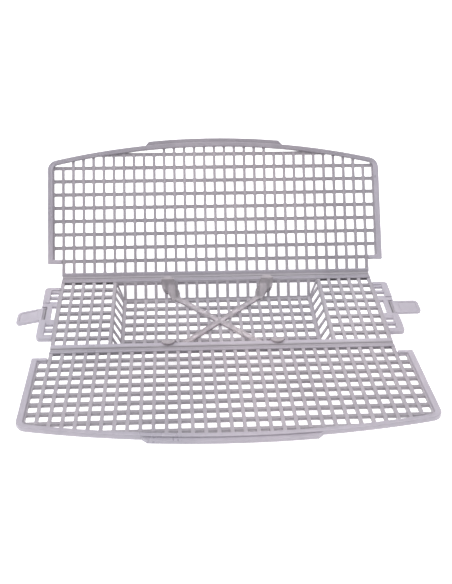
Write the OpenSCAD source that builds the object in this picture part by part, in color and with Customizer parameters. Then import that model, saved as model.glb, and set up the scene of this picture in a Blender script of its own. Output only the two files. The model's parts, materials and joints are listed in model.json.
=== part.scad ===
// Folding queen excluder cage: a mesh strip with a sunk tray, two mesh flaps on film hinges,
// an end ear with a hinged tongue at each end, and a cross brace across the tray.
// Millimetres. Origin: centre of the tray floor's underside. X runs along the hinges, +Z up.

/* [Mesh] */
// Clear width of one opening, along X
slot_w = 4; // [3.8:0.05:5]
// Clear length of one opening, front to back
slot_l = 5.5; // [4.6:0.05:6.9]
// Width of the bars that run front to back
bar_w = 1.6; // [1.3:0.05:2]
// Width of the bars that run along X
cross_bar_w = 1.95; // [1.5:0.05:2.4]
// Thickness of every mesh panel
mesh_t = 1.6; // [1.2:0.1:1.8]
// Width of the plain bar that closes a mesh panel's end
side_bar_w = 1.8; // [1.5:0.05:2.4]

/* [Tray] */
// Mesh columns in the tray floor
floor_cols = 18; // [14:2:22]
// Mesh rows in the tray floor
floor_rows = 6; // [4:2:8]
// Depth of the tray, from the strip's mesh to the floor's mesh
tray_depth = 8; // [6.6:0.2:11]
// Horizontal foot that thickens the sloped tray walls
wall_foot = 0.1; // [0.05:0.05:0.6]
// Solid width left along each wall's lower and upper edge
wall_edge = 0.35; // [0.3:0.05:0.7]
// Width of the bar along each tray corner
corner_bar = 1.1; // [0.8:0.1:1.6]

/* [Strip] */
// Mesh columns in each wing beside the tray
wing_cols = 5; // [3:1:7]
// Width of the plain rail along each hinge
rail_w = 2.75; // [2:0.05:4]
// Thickness of the hinge rails on the strip and on the flaps
rail_t = 2; // [1.8:0.1:2.4]

/* [Hinges] */
// Thickness of the bendable hinge films
film_t = 0.4; // [0.3:0.05:0.5]
// Free width of the long hinge films
film_w = 2.6; // [2.2:0.1:3.4]
// Angle that the rear flap is raised, above flat
rear_angle = 51.6; // [0:0.5:110]
// Angle that the front flap is raised, above flat
front_angle = 6.1; // [0:0.1:60]

/* [Flaps] */
// Full mesh rows in a flap
flap_rows = 8; // [6:1:9]
// Mesh columns by which a flap is wider than the strip, at each end
extra_cols = 1; // [1:1:2]
// Width of a flap's hinge rail
flap_rail_w = 1.85; // [1.5:0.05:2.4]
// Distance from the hinge line to the flap's curved outer edge, at its middle
flap_reach = 76; // [72:1:92]
// Radius of the flap's curved outer edge
flap_arc_r = 401; // [340:1:480]
// Radius of the flap's outer corners
flap_corner_r = 6; // [4:0.5:8]
// Width of the border along the curved edge
arc_border = 2.7; // [2:0.1:3.6]
// Width of the border at each end of a flap
side_border = 3.1; // [2.4:0.1:4]
// Width of the border under each overhanging end
under_border = 2.45; // [2:0.05:3]
// Distance from the hinge line to the overhanging ends
notch_reach = 8.15; // [6:0.05:12]
// Thickness of the border
border_t = 2.5; // [2.1:0.1:3]
// Openings narrower than this against the curved edge have no bars in them
sliver_gap = 1.9; // [1.2:0.1:2.6]

/* [Lip] */
// Half length of the finger lip on a flap's edge
lip_half = 38.4; // [24:0.2:46]
// Distance that the lip stands out from the curved edge
lip_out = 2.15; // [1.5:0.05:3]
// Thickness of the lip
lip_t = 1.7; // [1.2:0.1:2]

/* [Ears] */
// Distance that an ear stands out from the strip's end
ear_out = 8; // [7:0.1:10]
// Half length of an ear, front to back
ear_half = 23.6; // [21:0.2:26]
// Thickness of an ear's raised edge
ear_t = 2.2; // [1.8:0.1:2.8]
// Width of the raised edge along an ear's outer side
ear_band = 3.6; // [3:0.1:4.4]
// Width of the raised edge across each end of an ear
ear_end_band = 2.6; // [2:0.1:3.4]
// Radius of an ear's outer corners
ear_corner_r = 2; // [1:0.5:3]
// Length of one window, front to back
window_l = 3.4; // [2.8:0.1:4]
// Half length of the lower middle of an ear
middle_half = 9; // [7.5:0.1:10.4]
// Width of the slot beside the strip
ear_slot_w = 2; // [1.6:0.1:2.4]
// Plain margin between the strip's end and an ear's windows and slot
ear_margin = 0.5; // [0.4:0.1:1]

/* [Tongues] */
// Length of a tongue, from its hinge line
tongue_l = 14.8; // [11:0.2:18]
// Width of a tongue
tongue_w = 11.2; // [9:0.1:13]
// Thickness of a tongue
tongue_t = 1.5; // [1.2:0.1:1.6]
// Radius of a tongue's outer corners
tongue_corner_r = 2.4; // [1:0.1:4]
// Free width of a tongue's hinge film
tongue_film_w = 1.8; // [1.6:0.1:2.2]
// Distance from the ear's outer edge to the tongue's hinge line
tongue_set_in = 2; // [1.7:0.1:2.6]
// Clearance at each side of a tongue, and past each end of the ear slot
tongue_clear = 0.4; // [0.3:0.05:0.6]
// Width of the rim around the finger dish
dish_rim = 1.5; // [1:0.1:2.2]
// Depth of the finger dish
dish_deep = 0.45; // [0.3:0.05:0.6]
// Angle that the left tongue droops
left_droop = 12; // [0:1:60]
// Angle that the right tongue droops
right_droop = 0; // [0:1:60]

/* [Brace] */
// Thickness of the cross brace
brace_t = 1.2; // [1:0.1:1.8]
// Width of the straps that cross on the floor
strap_w = 3.2; // [2.4:0.1:5]
// Distance of each knee from the tray's middle, along X
knee_x = 23; // [18:0.5:28]
// Distance of each tip from the tray's middle, along X
tip_x = 27.2; // [22:0.2:32]
// Width of a leg at the knee
leg_w = 4.8; // [4:0.1:6.4]
// Width of a leg at its rounded tip
tip_w = 6.8; // [5.6:0.1:9]
// Diameter of the round pad where the straps cross
hub_d = 5.6; // [4.6:0.2:9]

/* [Hidden] */
$fn = 32;

// Mesh spacing and the strip's levels
pitch_x = slot_w + bar_w;
pitch_y = slot_l + cross_bar_w;
strip_z = tray_depth;
strip_top = strip_z + mesh_t;
rail_top = strip_z + rail_t;

// Bar lines: the floor's edge, the rim, the strip's end and the flap's end
floor_line_x = floor_cols / 2 * pitch_x;
rim_line_x = floor_line_x + pitch_x;
strip_cols = wing_cols + floor_cols / 2 + 1;
strip_line_x = strip_cols * pitch_x;
flap_line_x = (strip_cols + extra_cols) * pitch_x;
floor_line_y = floor_rows / 2 * pitch_y;
rim_line_y = floor_line_y + pitch_y;

// Edges of the pieces that meet along those lines
floor_x = floor_line_x + bar_w / 2;
floor_y = floor_line_y + cross_bar_w / 2;
rim_x = rim_line_x - bar_w / 2;
rim_y = rim_line_y - cross_bar_w / 2;
strip_x = strip_line_x - bar_w / 2 + side_bar_w;
rail_y = rim_y + rail_w;

// Hinge lines of the flaps, in the middle of their films at the top of the rails
hinge_y = rail_y + film_w / 2;
hinge_z = rail_top - film_t / 2;

// Underside of a flap and its mesh's first bar line, measured from its hinge line
mesh_under = -(rail_t - film_t / 2);
first_line = film_w / 2 + flap_rail_w - cross_bar_w / 2;

// Flap outline, inside and outside its border
flap_x = flap_line_x + side_border;
inner_arc_r = flap_arc_r - arc_border;
inner_reach = flap_reach - arc_border;
least_corner_r = 0.5;
inner_corner_r = max(flap_corner_r - arc_border, least_corner_r);
under_top = notch_reach + under_border;

// Ears and tongues
ear_x = strip_x + ear_out;
tongue_z = strip_z + mesh_t / 2;
tongue_hinge_x = ear_x - tongue_set_in;
tongue_gap = tongue_film_w / 2;
notch_half = tongue_w / 2 + tongue_clear;
window_x = strip_x + ear_margin;

// Where the middles of an ear's two windows lie, as shares of the way from its lower middle to its end
window_shares = [0.27, 0.73];

// Turn between the points of a long arc and of a small corner, in degrees
arc_step = 1.2;
corner_step = 11.25;

// Distance that a cutter runs past what it cuts
past = 1;

// ---- shared outlines ----

function arc_points(cx, cy, r, from, to, step) =
    let (n = max(2, ceil(abs(to - from) / step)))
    [for (i = [0:n]) let (a = from + (to - from) * i / n) [cx + r * cos(a), cy + r * sin(a)]];

// A plate with a straight lower edge, upright ends, rounded corners and a bowed outer edge
function bowed_outline(half, reach, arc_r, corner_r, low) =
    let (swing = asin((half - corner_r) / (arc_r - corner_r)),
         centre = reach - arc_r,
         corner_y = centre + (arc_r - corner_r) * cos(swing))
    concat([[-half, low], [half, low]],
           arc_points(half - corner_r, corner_y, corner_r, 0, 90 - swing, corner_step),
           arc_points(0, centre, arc_r, 90 - swing, 90 + swing, arc_step),
           arc_points(corner_r - half, corner_y, corner_r, 90 + swing, 180, corner_step));

// A rectangle from x0 to x1 whose two corners at x1 are rounded
function tab_outline(x0, x1, half, r) =
    concat([[x0, -half]],
           arc_points(x1 - r, r - half, r, -90, 0, corner_step),
           arc_points(x1 - r, half - r, r, 0, 90, corner_step),
           [[x0, half]]);

function strip_outline(half, low, high) = [[-half, low], [half, low], [half, high], [-half, high]];

// Openings between bar lines, for columns and rows counted from the lines at x = 0 and y = first
module openings(col_from, col_to, row_from, row_to, first = 0) {
    for (i = [col_from:col_to - 1])
        for (j = [row_from:row_to - 1])
            translate([i * pitch_x + bar_w / 2, first + j * pitch_y + cross_bar_w / 2])
                square([slot_w, slot_l]);
}

module both_sides() {
    children();
    mirror([1, 0, 0]) children();
}

// ---- tray and strip ----

module tray_floor() {
    color("silver")
    linear_extrude(mesh_t) difference() {
        polygon(strip_outline(floor_x, -floor_y, floor_y));
        openings(-floor_cols / 2, floor_cols / 2, -floor_rows / 2, floor_rows / 2);
    }
}

// Section of a sloped wall between the floor's edge (low) and the rim (high)
function wall_section(low, high, foot) =
    [[low, 0], [low + foot, 0], [high, strip_z], [high, strip_top],
     [high - foot, strip_top], [low, mesh_t]];

// The long wall: ribs with a tall opening between each two, and a three-cornered one at each end
module long_wall() {
    run_x = rim_x - floor_x;
    run_y = rim_y - floor_y;
    slot_low = floor_y + wall_edge;
    slot_high = rim_y - wall_edge;
    slope = run_x / run_y;
    color("silver")
    difference() {
        intersection() {
            translate([-rim_x - past, 0, 0]) rotate([90, 0, 90])
                linear_extrude(2 * (rim_x + past))
                    polygon(wall_section(floor_y, rim_y, wall_foot));
            translate([0, 0, -past]) linear_extrude(strip_top + 2 * past)
                polygon([[-floor_x, floor_y], [floor_x, floor_y], [rim_x, rim_y], [-rim_x, rim_y]]);
        }
        translate([0, 0, -past]) linear_extrude(strip_top + 2 * past) {
            for (i = [-floor_cols / 2:floor_cols / 2 - 1])
                translate([i * pitch_x + bar_w / 2, slot_low]) square([slot_w, slot_high - slot_low]);
            both_sides() polygon([
                [floor_x, floor_y + corner_bar / 2 / slope],
                [floor_x + slope * (slot_high - floor_y) - corner_bar / 2, slot_high],
                [floor_x, slot_high]]);
        }
    }
}

module rear_tray_wall() { long_wall(); }

module front_tray_wall() { mirror([0, 1, 0]) long_wall(); }

// The end wall: one opening for each mesh row, and a three-cornered one at each end
module end_wall() {
    run_x = rim_x - floor_x;
    run_y = rim_y - floor_y;
    slot_low = floor_x + wall_edge;
    slot_high = rim_x - wall_edge;
    slope = run_y / run_x;
    color("gainsboro")
    difference() {
        intersection() {
            translate([0, rim_y + past, 0]) rotate([90, 0, 0])
                linear_extrude(2 * (rim_y + past))
                    polygon(wall_section(floor_x, rim_x, wall_foot * run_x / run_y));
            translate([0, 0, -past]) linear_extrude(strip_top + 2 * past)
                polygon([[floor_x, -floor_y], [rim_x, -rim_y], [rim_x, rim_y], [floor_x, floor_y]]);
        }
        translate([0, 0, -past]) linear_extrude(strip_top + 2 * past) {
            for (j = [-floor_rows / 2:floor_rows / 2 - 1])
                translate([slot_low, j * pitch_y + cross_bar_w / 2])
                    square([slot_high - slot_low, slot_l]);
            for (side = [-1, 1]) polygon([
                [slot_low, side * floor_y],
                [slot_high, side * floor_y],
                [slot_high, side * (floor_y + slope * (slot_high - floor_x) - corner_bar)]]);
        }
    }
}

module right_tray_wall() { end_wall(); }

module left_tray_wall() { mirror([1, 0, 0]) end_wall(); }

module wing_mesh() {
    color("lightgray")
    translate([0, 0, strip_z]) linear_extrude(mesh_t) difference() {
        polygon([[rim_x, -rim_y], [strip_x, -rim_y], [strip_x, rim_y], [rim_x, rim_y]]);
        intersection() {
            openings(floor_cols / 2 + 1, strip_cols, -floor_rows / 2 - 1, floor_rows / 2 + 1);
            polygon(strip_outline(strip_x, -rim_y, rim_y));
        }
    }
}

module right_wing_mesh() { wing_mesh(); }

module left_wing_mesh() { mirror([1, 0, 0]) wing_mesh(); }

module strip_rail() {
    color("gainsboro")
    translate([-strip_x, rim_y, strip_z]) cube([2 * strip_x, rail_w, rail_t]);
}

module rear_strip_rail() { strip_rail(); }

module front_strip_rail() { mirror([0, 1, 0]) strip_rail(); }

// ---- ears and tongues ----

// Raised edge along the outer side and across the ends, cut away in the lower middle
module ear_edge() {
    difference() {
        polygon(tab_outline(strip_x, ear_x, ear_half, ear_corner_r));
        translate([strip_x - past, ear_end_band - ear_half])
            square([ear_out - ear_band + past, 2 * (ear_half - ear_end_band)]);
        translate([strip_x - past, -middle_half]) square([ear_out + 2 * past, 2 * middle_half]);
    }
}

module ear() {
    window_room = ear_half - ear_end_band - middle_half;
    window_w = ear_out - ear_band - ear_margin;
    color("gainsboro")
    translate([0, 0, strip_z]) {
        linear_extrude(mesh_t) difference() {
            polygon(tab_outline(strip_x, ear_x, ear_half, ear_corner_r));
            // two windows on each side of the middle
            for (side = [-1, 1]) for (share = window_shares)
                translate([window_x, side * (middle_half + share * window_room) - window_l / 2])
                    square([window_w, window_l]);
            // slot beside the strip, as long as the tongue is wide
            translate([window_x, -notch_half]) square([ear_slot_w, 2 * notch_half]);
            // notch that the tongue hangs in
            translate([tongue_hinge_x - tongue_gap, -notch_half])
                square([ear_out, 2 * notch_half]);
        }
        linear_extrude(ear_t) ear_edge();
    }
}

module right_ear() { ear(); }

module left_ear() { mirror([1, 0, 0]) ear(); }

// A tongue lying level, its hinge line at x = 0 and z = 0
module level_tongue() {
    difference() {
        translate([0, 0, -tongue_t / 2]) linear_extrude(tongue_t)
            polygon(tab_outline(tongue_gap, tongue_l, tongue_w / 2, tongue_corner_r));
        translate([0, 0, tongue_t / 2 - dish_deep]) linear_extrude(tongue_t)
            polygon(tab_outline(tongue_gap + 2 * dish_rim, tongue_l - dish_rim,
                                tongue_w / 2 - dish_rim, tongue_corner_r - dish_rim / 2));
    }
}

module at_tongue_hinge(droop) {
    translate([tongue_hinge_x, 0, tongue_z]) rotate([0, droop, 0]) children();
}

module right_tongue() {
    color("gainsboro") at_tongue_hinge(right_droop) level_tongue();
}

module left_tongue() {
    color("gainsboro") mirror([1, 0, 0]) at_tongue_hinge(left_droop) level_tongue();
}

// Film section in its own plane: fixed half, round middle and half that follows the turned piece
module film_section(gap, turn) {
    translate([-gap, -film_t / 2]) square([gap, film_t]);
    circle(d = film_t);
    rotate(turn) translate([0, -film_t / 2]) square([gap, film_t]);
}

module tongue_film(droop) {
    color("white")
    translate([tongue_hinge_x, tongue_w / 2, tongue_z]) rotate([90, 0, 0])
        linear_extrude(tongue_w) film_section(tongue_gap, -droop);
}

module right_tongue_film() { tongue_film(right_droop); }

module left_tongue_film() { mirror([1, 0, 0]) tongue_film(left_droop); }

// ---- flaps: modelled flat, with the hinge line at y = 0 and z = 0 ----

module flap_rail() {
    translate([-strip_x, film_w / 2, mesh_under]) cube([2 * strip_x, flap_rail_w, rail_t]);
}

// Region that the mesh fills: as wide as the strip near the hinge, then inside the border
module flap_field() {
    polygon(strip_outline(strip_x, film_w / 2 + flap_rail_w, under_top + past));
    polygon(bowed_outline(flap_line_x, inner_reach, inner_arc_r, inner_corner_r, under_top));
}

// How far along X the curved edge leaves at least the sliver gap beyond a bar at this distance
function sliver_x(edge) =
    sqrt(pow(inner_arc_r, 2) - pow(inner_arc_r - (inner_reach - edge - sliver_gap), 2));

module flap_mesh() {
    all_cols = strip_cols + extra_cols;
    translate([0, 0, mesh_under]) linear_extrude(mesh_t) difference() {
        flap_field();
        openings(-strip_cols, strip_cols, 0, 1, first_line);
        openings(-all_cols, all_cols, 1, flap_rows, first_line);
        for (k = [0, 1]) {
            edge = first_line + (flap_rows + k) * pitch_y + cross_bar_w / 2;
            if (edge + sliver_gap < inner_reach) {
                openings(-all_cols, all_cols, flap_rows + k, flap_rows + k + 1, first_line);
                both_sides() translate([sliver_x(edge), edge]) square([flap_x, flap_reach]);
            }
        }
    }
}

module flap_border() {
    translate([0, 0, mesh_under]) linear_extrude(border_t) difference() {
        polygon(bowed_outline(flap_x, flap_reach, flap_arc_r, flap_corner_r, notch_reach));
        flap_field();
        polygon(strip_outline(strip_x, 0, under_top + past));
    }
}

module flap_lip() {
    outer_r = flap_arc_r + lip_out;
    spread = asin((lip_half - lip_out) / outer_r);
    centre = flap_reach - flap_arc_r;
    edge_y = centre + flap_arc_r * cos(asin(lip_half / flap_arc_r));
    // the low corners lie inside the flap's outline, which is taken away
    translate([0, 0, mesh_under]) linear_extrude(lip_t) difference() {
        polygon(concat([[-lip_half, edge_y], [-lip_half, edge_y - past],
                        [lip_half, edge_y - past], [lip_half, edge_y]],
                       arc_points(0, centre, outer_r, 90 - spread, 90 + spread, arc_step)));
        polygon(bowed_outline(flap_x, flap_reach, flap_arc_r, flap_corner_r, notch_reach));
    }
}

module raise_rear() {
    color("silver") translate([0, hinge_y, hinge_z]) rotate([rear_angle, 0, 0]) children();
}

module raise_front() {
    color("lightgray") mirror([0, 1, 0])
        translate([0, hinge_y, hinge_z]) rotate([front_angle, 0, 0]) children();
}

module rear_flap_rail() { raise_rear() flap_rail(); }

module rear_flap_mesh() { raise_rear() flap_mesh(); }

module rear_flap_border() { raise_rear() flap_border(); }

module rear_flap_lip() { raise_rear() flap_lip(); }

module front_flap_rail() { raise_front() flap_rail(); }

module front_flap_mesh() { raise_front() flap_mesh(); }

module front_flap_border() { raise_front() flap_border(); }

module front_flap_lip() { raise_front() flap_lip(); }

module long_film(turn) {
    color("white")
    translate([-strip_x, hinge_y, hinge_z]) rotate([90, 0, 90])
        linear_extrude(2 * strip_x) film_section(film_w / 2, turn);
}

module rear_hinge_film() { long_film(rear_angle); }

module front_hinge_film() { mirror([0, 1, 0]) long_film(front_angle); }

// ---- cross brace ----

// Side view of the brace: flat on the floor, up the long wall and over the rail
function brace_section() =
    let (slope = (rim_y - wall_foot - floor_y) / (strip_top - mesh_t),
         lean = brace_t * sqrt(1 + slope * slope),
         inner_low = floor_y + slope * brace_t - lean,
         inner_high = inner_low + slope * (rail_top - mesh_t))
    [[-past, mesh_t], [floor_y, mesh_t], [rim_y - wall_foot, strip_top], [rim_y, rail_top],
     [rail_y, rail_top], [rail_y, rail_top + brace_t], [inner_high, rail_top + brace_t],
     [inner_low, mesh_t + brace_t], [-past, mesh_t + brace_t]];

// One arm in plan: a strap from the middle to the knee, then a leg that widens to a round tip
module brace_arm() {
    tip_y = rail_y - tip_w / 2;
    along = atan2(floor_y, knee_x);
    rotate(along) translate([0, -strap_w / 2])
        square([sqrt(knee_x * knee_x + floor_y * floor_y), strap_w]);
    translate([knee_x, floor_y]) circle(d = leg_w);
    translate([tip_x, tip_y]) circle(d = tip_w);
    polygon([[knee_x - leg_w / 2, floor_y], [knee_x + leg_w / 2, floor_y],
             [tip_x + tip_w / 2, tip_y], [tip_x - tip_w / 2, tip_y]]);
}

module cross_brace() {
    color("antiquewhite")
    intersection() {
        union() {
            for (side = [0, 1]) mirror([0, side, 0])
                translate([-rim_x, 0, 0]) rotate([90, 0, 90])
                    linear_extrude(2 * rim_x) polygon(brace_section());
        }
        linear_extrude(rail_top + 2 * brace_t) {
            circle(d = hub_d);
            for (side = [0, 1]) mirror([0, side, 0]) both_sides() brace_arm();
        }
    }
}

tray_floor();
rear_tray_wall();
front_tray_wall();
left_tray_wall();
right_tray_wall();
left_wing_mesh();
right_wing_mesh();
rear_strip_rail();
front_strip_rail();
left_ear();
right_ear();
cross_brace();
rear_hinge_film();
front_hinge_film();
left_tongue_film();
right_tongue_film();
rear_flap_rail();
rear_flap_mesh();
rear_flap_border();
rear_flap_lip();
front_flap_rail();
front_flap_mesh();
front_flap_border();
front_flap_lip();
left_tongue();
right_tongue();
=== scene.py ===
import bmesh
import bpy
import json
import math
from mathutils import Matrix, Vector

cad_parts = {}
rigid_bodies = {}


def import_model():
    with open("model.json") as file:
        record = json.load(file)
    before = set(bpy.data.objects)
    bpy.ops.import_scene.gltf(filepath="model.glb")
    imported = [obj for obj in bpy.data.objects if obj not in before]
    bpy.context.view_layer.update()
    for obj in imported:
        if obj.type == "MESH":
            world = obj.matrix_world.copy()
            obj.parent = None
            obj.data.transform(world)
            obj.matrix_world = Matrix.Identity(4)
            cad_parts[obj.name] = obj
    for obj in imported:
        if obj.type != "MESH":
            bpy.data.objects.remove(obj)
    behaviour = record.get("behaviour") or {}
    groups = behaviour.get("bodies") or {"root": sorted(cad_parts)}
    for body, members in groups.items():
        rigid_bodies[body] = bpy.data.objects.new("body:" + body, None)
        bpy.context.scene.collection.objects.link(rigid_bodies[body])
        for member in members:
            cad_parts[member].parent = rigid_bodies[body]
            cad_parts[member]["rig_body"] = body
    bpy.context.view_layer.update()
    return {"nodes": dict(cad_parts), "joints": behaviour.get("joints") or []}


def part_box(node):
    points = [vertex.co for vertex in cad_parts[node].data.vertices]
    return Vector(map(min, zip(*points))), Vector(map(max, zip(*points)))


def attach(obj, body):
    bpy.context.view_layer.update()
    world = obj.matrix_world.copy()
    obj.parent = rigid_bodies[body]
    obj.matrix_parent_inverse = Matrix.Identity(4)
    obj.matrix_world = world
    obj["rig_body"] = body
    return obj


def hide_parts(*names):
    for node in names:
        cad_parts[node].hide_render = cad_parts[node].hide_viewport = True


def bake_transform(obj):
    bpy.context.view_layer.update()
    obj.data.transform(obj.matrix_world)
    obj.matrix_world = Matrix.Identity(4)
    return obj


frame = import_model()
mm = 0.001
joints = {joint["name"]: joint for joint in frame["joints"]}


def newNode(tree, kind, inputs=None, **settings):
    node = tree.nodes.new(kind)
    for name, value in settings.items():
        setattr(node, name, value)
    for name, value in (inputs or {}).items():
        node.inputs[name].default_value = value
    return node


def opaque(colour):
    return (*colour, 1.0)


def newGroup(name, inputs, outputs):
    group = bpy.data.node_groups.new(name, "ShaderNodeTree")
    for label, value in inputs.items():
        kind = "NodeSocketColor" if isinstance(value, tuple) else "NodeSocketFloat"
        socket = group.interface.new_socket(label, in_out="INPUT", socket_type=kind)
        socket.default_value = value
    for label, kind in outputs.items():
        group.interface.new_socket(label, in_out="OUTPUT", socket_type=kind)
    return group, newNode(group, "NodeGroupInput"), newNode(group, "NodeGroupOutput")


# milky clouds and thin streaks frozen into moulded polypropylene, drawn out along Y
clouds = {"cloudDetail": 4.0, "cloudRoughness": 0.55, "streakDetail": 3.0, "streakRoughness": 0.6,
          "streakStretch": (1.0, 0.22, 1.0), "driftDetail": 1.0, "clearest": 0.34, "milkiest": 0.66}


def buildCloudGroup():
    group, source, sink = newGroup(
        "milkyClouds", {"Cloud Scale": 30.0, "Streak Scale": 120.0, "Streak Share": 0.4, "Drift Scale": 9.0},
        {"Mask": "NodeSocketFloat", "Drift": "NodeSocketFloat"})
    link = group.links.new
    place = newNode(group, "ShaderNodeTexCoord")
    stretch = newNode(group, "ShaderNodeMapping", {"Scale": clouds["streakStretch"]})
    cloud = newNode(group, "ShaderNodeTexNoise",
                    {"Detail": clouds["cloudDetail"], "Roughness": clouds["cloudRoughness"]})
    streak = newNode(group, "ShaderNodeTexNoise",
                     {"Detail": clouds["streakDetail"], "Roughness": clouds["streakRoughness"]})
    drift = newNode(group, "ShaderNodeTexNoise", {"Detail": clouds["driftDetail"]})
    blend = newNode(group, "ShaderNodeMix", data_type="FLOAT")
    spread = newNode(group, "ShaderNodeMapRange",
                     {"From Min": clouds["clearest"], "From Max": clouds["milkiest"]})
    link(place.outputs["Object"], cloud.inputs["Vector"])
    link(place.outputs["Object"], stretch.inputs["Vector"])
    link(stretch.outputs["Vector"], streak.inputs["Vector"])
    link(place.outputs["Object"], drift.inputs["Vector"])
    link(source.outputs["Drift Scale"], drift.inputs["Scale"])
    link(drift.outputs["Fac"], sink.inputs["Drift"])
    link(source.outputs["Cloud Scale"], cloud.inputs["Scale"])
    link(source.outputs["Streak Scale"], streak.inputs["Scale"])
    link(source.outputs["Streak Share"], blend.inputs["Factor"])
    link(cloud.outputs["Fac"], blend.inputs["A"])
    link(streak.outputs["Fac"], blend.inputs["B"])
    link(blend.outputs["Result"], spread.inputs["Value"])
    link(spread.outputs["Result"], sink.inputs["Mask"])
    return group


# fine moulded grain with a few long shallow scratches, as a height
skin = {"grainDetail": 2.0, "rippleDetail": 1.0, "scratchDetail": 2.0, "scratchBend": 0.4,
        "scratchTurn": (0.2, 0.1, 0.6), "scratchStretch": (1.0, 0.06, 1.0), "scratchEdge": 0.66,
        "scratchBottom": 0.72}


def buildSkinGroup():
    group, source, sink = newGroup(
        "mouldedSkin", {"Grain Scale": 1800.0, "Ripple Scale": 160.0, "Scratch Scale": 90.0,
                        "Ripple Share": 0.5, "Scratch Depth": 0.3}, {"Height": "NodeSocketFloat"})
    link = group.links.new
    place = newNode(group, "ShaderNodeTexCoord")
    grain = newNode(group, "ShaderNodeTexNoise", {"Detail": skin["grainDetail"]})
    ripple = newNode(group, "ShaderNodeTexNoise", {"Detail": skin["rippleDetail"]})
    turn = newNode(group, "ShaderNodeMapping",
                   {"Rotation": skin["scratchTurn"], "Scale": skin["scratchStretch"]})
    scratch = newNode(group, "ShaderNodeTexNoise",
                      {"Detail": skin["scratchDetail"], "Distortion": skin["scratchBend"]})
    ridge = newNode(group, "ShaderNodeMapRange",
                    {"From Min": skin["scratchEdge"], "From Max": skin["scratchBottom"]})
    layers = newNode(group, "ShaderNodeMix", data_type="FLOAT")
    cut = newNode(group, "ShaderNodeMath", operation="MULTIPLY")
    total = newNode(group, "ShaderNodeMath", operation="SUBTRACT")
    for texture, scale in ((grain, "Grain Scale"), (ripple, "Ripple Scale"), (scratch, "Scratch Scale")):
        link(source.outputs[scale], texture.inputs["Scale"])
    link(place.outputs["Object"], grain.inputs["Vector"])
    link(place.outputs["Object"], ripple.inputs["Vector"])
    link(place.outputs["Object"], turn.inputs["Vector"])
    link(turn.outputs["Vector"], scratch.inputs["Vector"])
    link(source.outputs["Ripple Share"], layers.inputs["Factor"])
    link(grain.outputs["Fac"], layers.inputs["A"])
    link(ripple.outputs["Fac"], layers.inputs["B"])
    link(scratch.outputs["Fac"], ridge.inputs["Value"])
    link(ridge.outputs["Result"], cut.inputs[0])
    link(source.outputs["Scratch Depth"], cut.inputs[1])
    link(layers.outputs["Result"], total.inputs[0])
    link(cut.outputs["Value"], total.inputs[1])
    link(total.outputs["Value"], sink.inputs["Height"])
    return group


# colour from deep to milky, drifting between a cool and a warm cast, darker where the shade layer is high
def buildTintGroup():
    white = opaque((1.0, 1.0, 1.0))
    group, source, sink = newGroup(
        "plasticTint", {"Mask": 0.5, "Drift": 0.5, "Deep": white, "Milky": white, "Cool Cast": white,
                        "Warm Cast": white, "Shaded": 1.0}, {"Color": "NodeSocketColor"})
    link = group.links.new
    tint = newNode(group, "ShaderNodeMix", data_type="RGBA")
    cast = newNode(group, "ShaderNodeMix", data_type="RGBA")
    drifted = newNode(group, "ShaderNodeMix", {"Factor": 1.0}, data_type="RGBA", blend_type="MULTIPLY")
    shade = newNode(group, "ShaderNodeAttribute", attribute_name="shade")
    depth = newNode(group, "ShaderNodeMapRange", {"To Min": 1.0})
    darker = newNode(group, "ShaderNodeMix", {"Factor": 1.0}, data_type="RGBA", blend_type="MULTIPLY")
    link(source.outputs["Mask"], tint.inputs["Factor"])
    link(source.outputs["Deep"], tint.inputs["A"])
    link(source.outputs["Milky"], tint.inputs["B"])
    link(source.outputs["Drift"], cast.inputs["Factor"])
    link(source.outputs["Cool Cast"], cast.inputs["A"])
    link(source.outputs["Warm Cast"], cast.inputs["B"])
    link(tint.outputs["Result"], drifted.inputs["A"])
    link(cast.outputs["Result"], drifted.inputs["B"])
    link(shade.outputs["Fac"], depth.inputs["Value"])
    link(source.outputs["Shaded"], depth.inputs["To Max"])
    link(drifted.outputs["Result"], darker.inputs["A"])
    link(depth.outputs["Result"], darker.inputs["B"])
    link(darker.outputs["Result"], sink.inputs["Color"])
    return group


milkyClouds = buildCloudGroup()
mouldedSkin = buildSkinGroup()
plasticTint = buildTintGroup()


def frostedPlastic(name, look):
    material = bpy.data.materials.new(name)
    material.use_nodes = True
    tree = material.node_tree
    tree.nodes.clear()
    link = tree.links.new
    output = newNode(tree, "ShaderNodeOutputMaterial")
    shader = newNode(tree, "ShaderNodeBsdfPrincipled", {
        "IOR": look["refraction"], "Transmission Weight": look["clearness"],
        "Subsurface Weight": look["glow"], "Subsurface Radius": look["glowTint"],
        "Subsurface Scale": look["glowDepth"]})
    cloudy = newNode(tree, "ShaderNodeGroup", {
        "Cloud Scale": look["cloudScale"], "Streak Scale": look["streakScale"],
        "Streak Share": look["streakShare"]}, node_tree=milkyClouds)
    surface = newNode(tree, "ShaderNodeGroup", {
        "Ripple Share": look["ripple"], "Scratch Depth": look["scratches"]}, node_tree=mouldedSkin)
    tint = newNode(tree, "ShaderNodeGroup", {
        "Deep": opaque(look["deep"]), "Milky": opaque(look["milky"]), "Cool Cast": opaque(look["coolCast"]),
        "Warm Cast": opaque(look["warmCast"]), "Shaded": look["shaded"]}, node_tree=plasticTint)
    gloss = newNode(tree, "ShaderNodeMapRange",
                    {"To Min": look["roughness"][0], "To Max": look["roughness"][1]})
    bump = newNode(tree, "ShaderNodeBump", {"Strength": look["bump"], "Distance": look["bumpHeight"]})
    link(cloudy.outputs["Mask"], tint.inputs["Mask"])
    link(cloudy.outputs["Drift"], tint.inputs["Drift"])
    link(cloudy.outputs["Mask"], gloss.inputs["Value"])
    link(tint.outputs["Color"], shader.inputs["Base Color"])
    link(gloss.outputs["Result"], shader.inputs["Roughness"])
    link(surface.outputs["Height"], bump.inputs["Height"])
    link(bump.outputs["Normal"], shader.inputs["Normal"])
    link(shader.outputs["BSDF"], output.inputs["Surface"])
    return material


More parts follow.
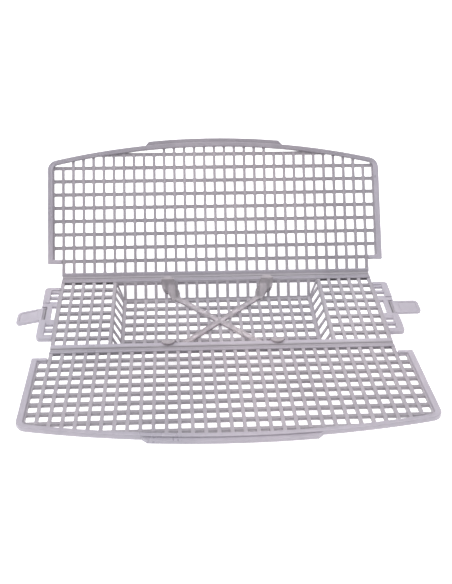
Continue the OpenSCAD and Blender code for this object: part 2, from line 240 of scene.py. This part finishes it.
# shaded is how much of its brightness the plastic keeps where the shade layer is full
baseLook = {"coolCast": (0.96, 0.985, 1.035), "warmCast": (1.06, 0.965, 0.975),
            "deep": (0.345, 0.328, 0.358), "milky": (0.445, 0.425, 0.452), "roughness": (0.30, 0.48),
            "refraction": 1.49, "clearness": 0.15, "glow": 0.25, "glowTint": (1.0, 0.97, 1.0),
            "glowDepth": 0.0012, "cloudScale": 22.0, "streakScale": 150.0, "streakShare": 0.35,
            "ripple": 0.55, "scratches": 0.1, "bump": 0.22, "bumpHeight": 0.0002}
meshPlastic = frostedPlastic("mesh_plastic", {**baseLook, "shaded": 0.82})
framePlastic = frostedPlastic("frame_plastic", {
    **baseLook, "deep": (0.40, 0.385, 0.43), "milky": (0.50, 0.478, 0.525), "roughness": (0.26, 0.42),
    "scratches": 0.04, "bump": 0.14, "shaded": 0.72})
filmPlastic = frostedPlastic("film_plastic", {
    **baseLook, "deep": (0.30, 0.288, 0.312), "milky": (0.38, 0.365, 0.39), "roughness": (0.35, 0.55),
    "streakScale": 90.0, "streakShare": 0.3, "shaded": 0.25})
bracePlastic = frostedPlastic("brace_plastic", {
    **baseLook, "deep": (0.56, 0.53, 0.555), "milky": (0.70, 0.66, 0.675), "roughness": (0.14, 0.28),
    "clearness": 0.5, "glow": 0.0, "streakShare": 0.7, "bump": 0.1, "shaded": 0.76})
finishes = {"mesh_plastic": meshPlastic, "frame_plastic": framePlastic,
            "film_plastic": filmPlastic, "brace_plastic": bracePlastic}
print("materials built:", len(finishes))


# angles in degrees: edges past sharp stay hard in shading, and edges past corner are rounded
edgeChoice = {"sharp": 50, "corner": 30, "segments": 2, "mergeDistance": 0.003 * mm, "flatAngle": 0.6}


def finishPiece(bm, name, slot, body=None, stands=()):
    bmesh.ops.recalc_face_normals(bm, faces=bm.faces)
    for face in bm.faces:
        face.smooth = True
    for edge in bm.edges:
        edge.smooth = edge.calc_face_angle(0) < math.radians(edgeChoice["sharp"])
    mesh = bpy.data.meshes.new(name)
    bm.to_mesh(mesh)
    bm.free()
    piece = bpy.data.objects.new(name, mesh)
    bpy.context.scene.collection.objects.link(piece)
    mesh.materials.append(finishes[slot])
    weighted = piece.modifiers.new("evenShading", "WEIGHTED_NORMAL")
    weighted.keep_sharp = True
    if body:
        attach(piece, body)
    if stands:
        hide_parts(*stands)
    return piece


def bevelEdges(bm, chosen, width):
    bmesh.ops.bevel(bm, geom=chosen, offset=width, offset_type="OFFSET", segments=edgeChoice["segments"],
                    profile=0.5, affect="EDGES", material=-1, clamp_overlap=True)


def roundEdges(bm, width):
    corners = [edge for edge in bm.edges if edge.calc_face_angle(0) > math.radians(edgeChoice["corner"])]
    bevelEdges(bm, corners, width)


# a CAD node's own shape as clean faces
def cadShape(node):
    bm = bmesh.new()
    bm.from_mesh(frame["nodes"][node].data)
    bmesh.ops.remove_doubles(bm, verts=bm.verts, dist=edgeChoice["mergeDistance"])
    bmesh.ops.dissolve_limit(bm, angle_limit=math.radians(edgeChoice["flatAngle"]),
                             verts=bm.verts, edges=bm.edges)
    return bm


# moves the origin to a hinge along X or Y: worked out for the rear or right one, mirrored for its twin
def hingePlace(joint, axis):
    x, y, z = joint["pos_m"]
    if axis == "X":
        place, across, isTwin = Vector((0, abs(y), z)), (0, 1, 0), y < 0
    else:
        place, across, isTwin = Vector((abs(x), 0, z)), (1, 0, 0), x < 0
    move = Matrix.Translation(place)
    return Matrix.Scale(-1, 4, across) @ move if isTwin else move


# the tray floor, the wings and the flaps share their bars and spacing; cornerAngle is in degrees
barMesh = {"barWidth": 1.6 * mm, "crossBarWidth": 1.95 * mm, "thickness": 1.6 * mm, "crossBarDrop": 0.12 * mm,
           "floorColumns": 18, "floorRows": 6, "wingColumns": 5, "flapRows": 8, "sliverGap": 1.9 * mm,
           "cornerFillet": 0.32 * mm, "edgeRound": 0.12 * mm, "tuck": 0.5 * mm, "underGap": 0.03 * mm,
           "cornerAngle": 60, "uprightShare": 0.99, "barShare": 0.9, "tinyEdge": 0.01 * mm}
floorLow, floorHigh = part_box("tray_floor")
pitchX = (floorHigh.x - floorLow.x - barMesh["barWidth"]) / barMesh["floorColumns"]
pitchY = (floorHigh.y - floorLow.y - barMesh["crossBarWidth"]) / barMesh["floorRows"]


# both edges of every bar whose centre lines are given
def barEdges(centres, width):
    return [centre + side * width / 2 for centre in centres for side in (-1, 1)]


# sheet of bars between openings: even steps across are bars, odd steps are gaps
def barSheet(xs, ys, unwanted=None):
    bm = bmesh.new()
    stepsX, stepsY = len(xs) - 1, len(ys) - 1
    bmesh.ops.create_grid(bm, x_segments=stepsX, y_segments=stepsY, size=1)
    openings = []
    for face in bm.faces:
        middle = face.calc_center_median()
        i = int((middle.x + 1) / 2 * stepsX)
        j = int((middle.y + 1) / 2 * stepsY)
        if (i % 2 and j % 2) or (unwanted and unwanted(i, j)):
            openings.append(face)
    bmesh.ops.delete(bm, geom=openings, context="FACES")
    for vert in bm.verts:
        vert.co.x = xs[round((vert.co.x + 1) / 2 * stepsX)]
        vert.co.y = ys[round((vert.co.y + 1) / 2 * stepsY)]
    return bm


# gives the sheet its thickness, with the bars along Y standing a little over the cross bars
def thickenBars(bm, xs, low, high):
    drop = barMesh["crossBarDrop"]
    lowerTop = high - drop
    middles = [(xs[k] + xs[k + 1]) / 2 for k in range(0, len(xs) - 1, 2)]
    half = (xs[1] - xs[0]) / 2
    base = list(bm.faces)
    risen = bmesh.ops.extrude_face_region(bm, geom=base, use_keep_orig=True)["geom"]
    for vert in bm.verts:
        vert.co.z = low
    for vert in [item for item in risen if isinstance(item, bmesh.types.BMVert)]:
        vert.co.z = lowerTop
    tops = [item for item in risen if isinstance(item, bmesh.types.BMFace)]
    reach = half * barMesh["barShare"]
    long = [face for face in tops
            if min(abs(face.calc_center_median().x - middle) for middle in middles) < reach]
    crowned = bmesh.ops.extrude_face_region(bm, geom=long)["geom"]
    for vert in [item for item in crowned if isinstance(item, bmesh.types.BMVert)]:
        vert.co.z = high
    bmesh.ops.delete(bm, geom=[face for face in long if face.is_valid], context="FACES_ONLY")
    bmesh.ops.recalc_face_normals(bm, faces=bm.faces)
    # the upright edges in the openings' corners, without the short ones of the raised bars
    corners = [edge for edge in bm.edges if edge.calc_face_angle(0) > math.radians(barMesh["cornerAngle"])
               and abs(edge.verts[0].co.z - edge.verts[1].co.z) > edge.calc_length() * barMesh["uprightShare"]
               and edge.calc_length() > drop * 2]
    bevelEdges(bm, corners, barMesh["cornerFillet"])
    roundEdges(bm, barMesh["edgeRound"])
    # painted shade: every face except the tops of the bars along Y is marked shaded, so the cross bars and
    # all bar sides come out darker
    shade = bm.faces.layers.float.new("shade")
    for face in bm.faces:
        middle = face.calc_center_median()
        onBar = min(abs(middle.x - line) for line in middles) < half
        face[shade] = 0.0 if onBar and middle.z > high - drop else 1.0


def buildFloor():
    half = barMesh["floorColumns"] // 2
    rows = barMesh["floorRows"] // 2
    xs = barEdges([i * pitchX for i in range(-half, half + 1)], barMesh["barWidth"])
    ys = barEdges([j * pitchY for j in range(-rows, rows + 1)], barMesh["crossBarWidth"])
    bm = barSheet(xs, ys)
    thickenBars(bm, xs, floorLow.z, floorHigh.z)
    finishPiece(bm, "trayFloor", "mesh_plastic", "tray", ["tray_floor"])


def buildWing(side):
    node = "right_wing_mesh" if side > 0 else "left_wing_mesh"
    low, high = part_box(node)
    first = barMesh["floorColumns"] // 2 + 1
    last = first + barMesh["wingColumns"]
    rows = barMesh["floorRows"] // 2 + 1
    xs = barEdges([i * pitchX for i in range(first, last + 1)], barMesh["barWidth"])
    xs[-1] = max(abs(low.x), abs(high.x))
    ys = barEdges([j * pitchY for j in range(-rows, rows + 1)], barMesh["crossBarWidth"])
    bm = barSheet(xs, ys)
    thickenBars(bm, xs, low.z + barMesh["underGap"], high.z)
    if side < 0:
        bmesh.ops.scale(bm, vec=(-1, 1, 1), verts=bm.verts)
    finishPiece(bm, "rightWing" if side > 0 else "leftWing", "mesh_plastic", "tray", [node])


# flaps are built flat with the hinge line at the origin, then turned and placed
flap = {"railWidth": 1.85 * mm, "filmWidth": 2.6 * mm, "arcRadius": 401 * mm, "reach": 76 * mm,
        "arcBorder": 2.7 * mm, "meshUnder": -1.8 * mm}


# a flap's turn up from flat, in its place at rest
def restTurn(joint):
    return math.radians(-joint["range_deg"][0])


def flapPlace(name):
    joint = joints[name + "_flap_hinge"]
    return hingePlace(joint, "X") @ Matrix.Rotation(restTurn(joint), 4, "X")


def innerArc(x):
    radius = flap["arcRadius"] - flap["arcBorder"]
    return flap["reach"] - flap["arcRadius"] + math.sqrt(radius ** 2 - x ** 2)


def buildFlapMesh(name):
    columns = barMesh["floorColumns"] // 2 + 1 + barMesh["wingColumns"] + 1
    bar, cross, tuck = barMesh["barWidth"], barMesh["crossBarWidth"], barMesh["tuck"]
    firstLine = flap["filmWidth"] / 2 + flap["railWidth"] - cross / 2
    lines = [firstLine + j * pitchY for j in range(barMesh["flapRows"] + 3)]
    xs = barEdges([i * pitchX for i in range(-columns, columns + 1)], bar)
    ys = barEdges(lines, cross)
    ys[0] = ys[1] - tuck
    lastI = len(xs) - 2

    def unwanted(i, j):
        x = (xs[i] + xs[i + 1]) / 2
        outside = (i < 2 or i > lastI - 2) and j < 2
        pastArc = ys[j] > innerArc(x) + tuck / 2
        sliver = j > 2 * barMesh["flapRows"] and j % 2 and innerArc(x) - ys[j] < barMesh["sliverGap"]
        return outside or pastArc or sliver

    bm = barSheet(xs, ys, unwanted)
    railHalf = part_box(name + "_flap_rail")[1].x
    # bars end inside the border, and beside the hinge the mesh is only as wide as its rail
    for vert in bm.verts:
        vert.co.y = min(vert.co.y, innerArc(vert.co.x) + tuck)
        if vert.co.y < ys[2] - tuck and abs(abs(vert.co.x) - xs[-3]) < tuck:
            vert.co.x = math.copysign(railHalf, vert.co.x)
        if abs(vert.co.x) > railHalf and vert.co.y < ys[3] + tuck:
            vert.co.y -= tuck / 2
    bmesh.ops.dissolve_degenerate(bm, dist=barMesh["tinyEdge"], edges=bm.edges)
    low = flap["meshUnder"] + barMesh["underGap"]
    thickenBars(bm, xs, low, flap["meshUnder"] + barMesh["thickness"])
    bmesh.ops.transform(bm, matrix=flapPlace(name), verts=bm.verts)
    finishPiece(bm, name + "FlapMesh", "mesh_plastic", name + "_flap", [name + "_flap_mesh"])


# plain moulded pieces, made from their CAD shapes with rounded edges, by the last part of their node's name
rounded = {
    "tray_wall": {"piece": "Wall", "sides": ("rear", "front", "left", "right"), "round": 0.1 * mm},
    "strip_rail": {"piece": "Rail", "sides": ("rear", "front"), "round": 0.35 * mm},
    "ear": {"piece": "Ear", "sides": ("left", "right"), "round": 0.22 * mm},
    "flap_rail": {"piece": "FlapRail", "sides": ("rear", "front"), "round": 0.35 * mm},
    "flap_border": {"piece": "Border", "sides": ("rear", "front"), "round": 0.5 * mm},
    "flap_lip": {"piece": "Lip", "sides": ("rear", "front"), "round": 0.4 * mm},
    "tongue": {"piece": "Tongue", "sides": ("left", "right"), "round": 0.3 * mm}}

# painted shade: some rails, and the flaps' curved edges and lips, are darkened, each by its share
paintedShadeShares = {"rear_strip_rail": 0.9, "rear_flap_rail": 0.6, "front_flap_rail": 0.6, "rear_flap_border": 0.8,
               "rear_flap_lip": 1.0, "front_flap_border": 0.2, "front_flap_lip": 0.3}


# paints shade into a part's vertices; a border's straight sides get none
def paintShadeOnParts(bm, node):
    shade = bm.verts.layers.float.new("shade")
    flatten = flapPlace(node.split("_")[0]).inverted()
    for vert in bm.verts:
        flat = flatten @ vert.co
        onSide = node.endswith("border") and flat.y < innerArc(flat.x) - barMesh["tuck"]
        vert[shade] = 0.0 if onSide else paintedShadeShares[node]


def buildRounded(kind, side):
    node = side + "_" + kind
    bm = cadShape(node)
    roundEdges(bm, rounded[kind]["round"])
    if node in paintedShadeShares:
        paintShadeOnParts(bm, node)
    slot = "mesh_plastic" if kind == "tray_wall" else "frame_plastic"
    finishPiece(bm, side + rounded[kind]["piece"], slot, frame["nodes"][node]["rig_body"], [node])


# cross brace: the straps have a raised edge along both sides; facingUp is the least normal Z of a top face
brace = {"edgeWidth": 0.85 * mm, "channelDepth": 0.5 * mm, "edgeRound": 0.25 * mm, "facingUp": 0.99}


def buildBrace():
    bm = cadShape("cross_brace")
    level = [face for face in bm.faces if face.normal.z > brace["facingUp"]]
    strapTop = min(face.calc_center_median().z for face in level)
    tops = [face for face in level if face.calc_center_median().z < strapTop + brace["edgeRound"]]
    inner = bmesh.ops.triangulate(bm, faces=tops)["faces"]
    bmesh.ops.inset_region(bm, faces=inner, thickness=brace["edgeWidth"], depth=-brace["channelDepth"],
                           use_even_offset=True, use_boundary=True)
    roundEdges(bm, brace["edgeRound"])
    # painted shade: the legs between the straps and the tips are darker
    shade = bm.faces.layers.float.new("shade")
    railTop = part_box("rear_strip_rail")[1].z
    for face in bm.faces:
        face[shade] = 1.0 if strapTop + brace["edgeRound"] < face.calc_center_median().z < railTop else 0.0
    finishPiece(bm, "crossBrace", "brace_plastic", "tray", ["cross_brace"])


# hinge films, bent as at rest; a turn under flatTurn radians counts as none
film = {"thickness": 0.4 * mm, "waist": 0.26 * mm, "waistPower": 3, "steps": 18, "lengthSteps": 40,
        "tuck": 0.25 * mm, "creaseShadeAt": -0.35 * mm, "creaseShadeReach": 0.55 * mm, "flatTurn": 0.01,
        "flapInset": 0.3 * mm, "tongueInset": 0.2 * mm, "tongueHalfWidth": 0.9 * mm}


# film across a hinge along X at the origin: fixed side towards -Y, moving side turned up by turn
def buildFilm(name, node, place, half, gap, turn):
    bm = bmesh.new()
    bmesh.ops.create_grid(bm, x_segments=film["lengthSteps"], y_segments=film["steps"], size=1)
    shade = bm.verts.layers.float.new("shade")
    reach = gap + film["tuck"]
    base = list(bm.faces)
    risen = bmesh.ops.extrude_face_region(bm, geom=base, use_keep_orig=True)["geom"]
    upper = {item for item in risen if isinstance(item, bmesh.types.BMVert)}
    for vert in bm.verts:
        along, across = vert.co.x * half, vert.co.y * reach
        share = min(1.0, abs(across) / gap)
        # painted shade: a dark line along the film's crease, fading out to either side
        vert[shade] = max(0.0, 1.0 - abs(across - film["creaseShadeAt"]) / film["creaseShadeReach"])
        thick = film["waist"] + (film["thickness"] - film["waist"]) * share ** film["waistPower"]
        lift = thick / 2 if vert in upper else -thick / 2
        if abs(turn) < film["flatTurn"] or across < -gap:
            vert.co = (along, across, lift)
        elif across > gap:
            vert.co = (along, across * math.cos(turn) - lift * math.sin(turn),
                       across * math.sin(turn) + lift * math.cos(turn))
        else:
            radius = gap / math.tan(turn / 2)
            angle = (across / gap + 1) / 2 * turn
            vert.co = (along, -gap + (radius - lift) * math.sin(angle),
                       radius - (radius - lift) * math.cos(angle))
    bmesh.ops.transform(bm, matrix=place, verts=bm.verts)
    piece = finishPiece(bm, name, "film_plastic", None, [node])
    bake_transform(piece)


def buildFlapFilm(name):
    joint = joints[name + "_flap_hinge"]
    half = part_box(name + "_strip_rail")[1].x - film["flapInset"]
    buildFilm(name + "Film", name + "_hinge_film", hingePlace(joint, "X"), half,
              flap["filmWidth"] / 2, restTurn(joint))


def buildTongueFilm(name):
    joint = joints[name + "_tongue_hinge"]
    low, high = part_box(name + "_tongue")
    # a tongue can rise to straight up, so what its range has past 90 degrees is its droop at rest
    droop = math.radians(joint["range_deg"][1] - 90)
    place = hingePlace(joint, "Y") @ Matrix.Rotation(math.radians(-90), 4, "Z")
    buildFilm(name + "TongueFilm", name + "_tongue_film", place,
              (high.y - low.y) / 2 - film["tongueInset"], film["tongueHalfWidth"], -droop)


buildFloor()
for side in (-1, 1):
    buildWing(side)
for name in ("rear", "front"):
    buildFlapMesh(name)
    buildFlapFilm(name)
print("bar meshes built")
for kind, choice in rounded.items():
    for side in choice["sides"]:
        buildRounded(kind, side)
buildBrace()
for name in ("left", "right"):
    buildTongueFilm(name)
print("moulded pieces built")


# angles of the lights in degrees: how soft, then how turned
studio = {"floorSize": 60.0, "floorGap": 0.05 * mm, "floorColour": (0.92, 0.92, 0.92), "floorRoughness": 0.9,
          "floorGlow": 0.65, "worldColour": (0.98, 0.985, 1.0), "world": 0.62,
          "lights": {"softTopLight": (1.9, 50, (-8, 6, 0)), "leftSoftLight": (1.25, 30, (0, -58, 0))}}


def buildStudioFloor():
    bm = bmesh.new()
    bmesh.ops.create_grid(bm, x_segments=1, y_segments=1, size=studio["floorSize"] / 2)
    mesh = bpy.data.meshes.new("studioFloor")
    bm.to_mesh(mesh)
    bm.free()
    ground = bpy.data.objects.new("studioFloor", mesh)
    ground.location.z = floorLow.z - studio["floorGap"]
    bpy.context.scene.collection.objects.link(ground)
    paint = bpy.data.materials.new("studioFloorPaint")
    paint.use_nodes = True
    shader = paint.node_tree.nodes["Principled BSDF"]
    shader.inputs["Base Color"].default_value = opaque(studio["floorColour"])
    shader.inputs["Roughness"].default_value = studio["floorRoughness"]
    shader.inputs["Emission Color"].default_value = opaque((1.0, 1.0, 1.0))
    shader.inputs["Emission Strength"].default_value = studio["floorGlow"]
    mesh.materials.append(paint)


def lightStudio():
    world = bpy.data.worlds.new("studioWorld")
    world.use_nodes = True
    background = world.node_tree.nodes["Background"]
    background.inputs["Color"].default_value = opaque(studio["worldColour"])
    background.inputs["Strength"].default_value = studio["world"]
    bpy.context.scene.world = world
    for name, (strength, softness, turn) in studio["lights"].items():
        lamp = bpy.data.lights.new(name, "SUN")
        lamp.energy = strength
        lamp.angle = math.radians(softness)
        lampObject = bpy.data.objects.new(name, lamp)
        lampObject.rotation_euler = [math.radians(angle) for angle in turn]
        bpy.context.scene.collection.objects.link(lampObject)
    bpy.context.scene.view_settings.view_transform = "Standard"


cameraView = {"place": (-0.02347, -0.3992, 0.2773), "lens": 56.67, "nearest": 0.01,
              "right": (0.99828, -0.05688, 0.01448), "up": (0.01857, 0.5401, 0.8414)}


def placeCamera():
    data = bpy.data.cameras.new("camera")
    data.lens = cameraView["lens"]
    data.clip_start = cameraView["nearest"]
    camera = bpy.data.objects.new("camera", data)
    bpy.context.scene.collection.objects.link(camera)
    right, up = Vector(cameraView["right"]), Vector(cameraView["up"])
    facing = Matrix((right, up, right.cross(up))).transposed().to_4x4()
    camera.matrix_world = Matrix.Translation(Vector(cameraView["place"])) @ facing
    bpy.context.scene.camera = camera


buildStudioFloor()
lightStudio()
placeCamera()
print("floor, light and camera set")
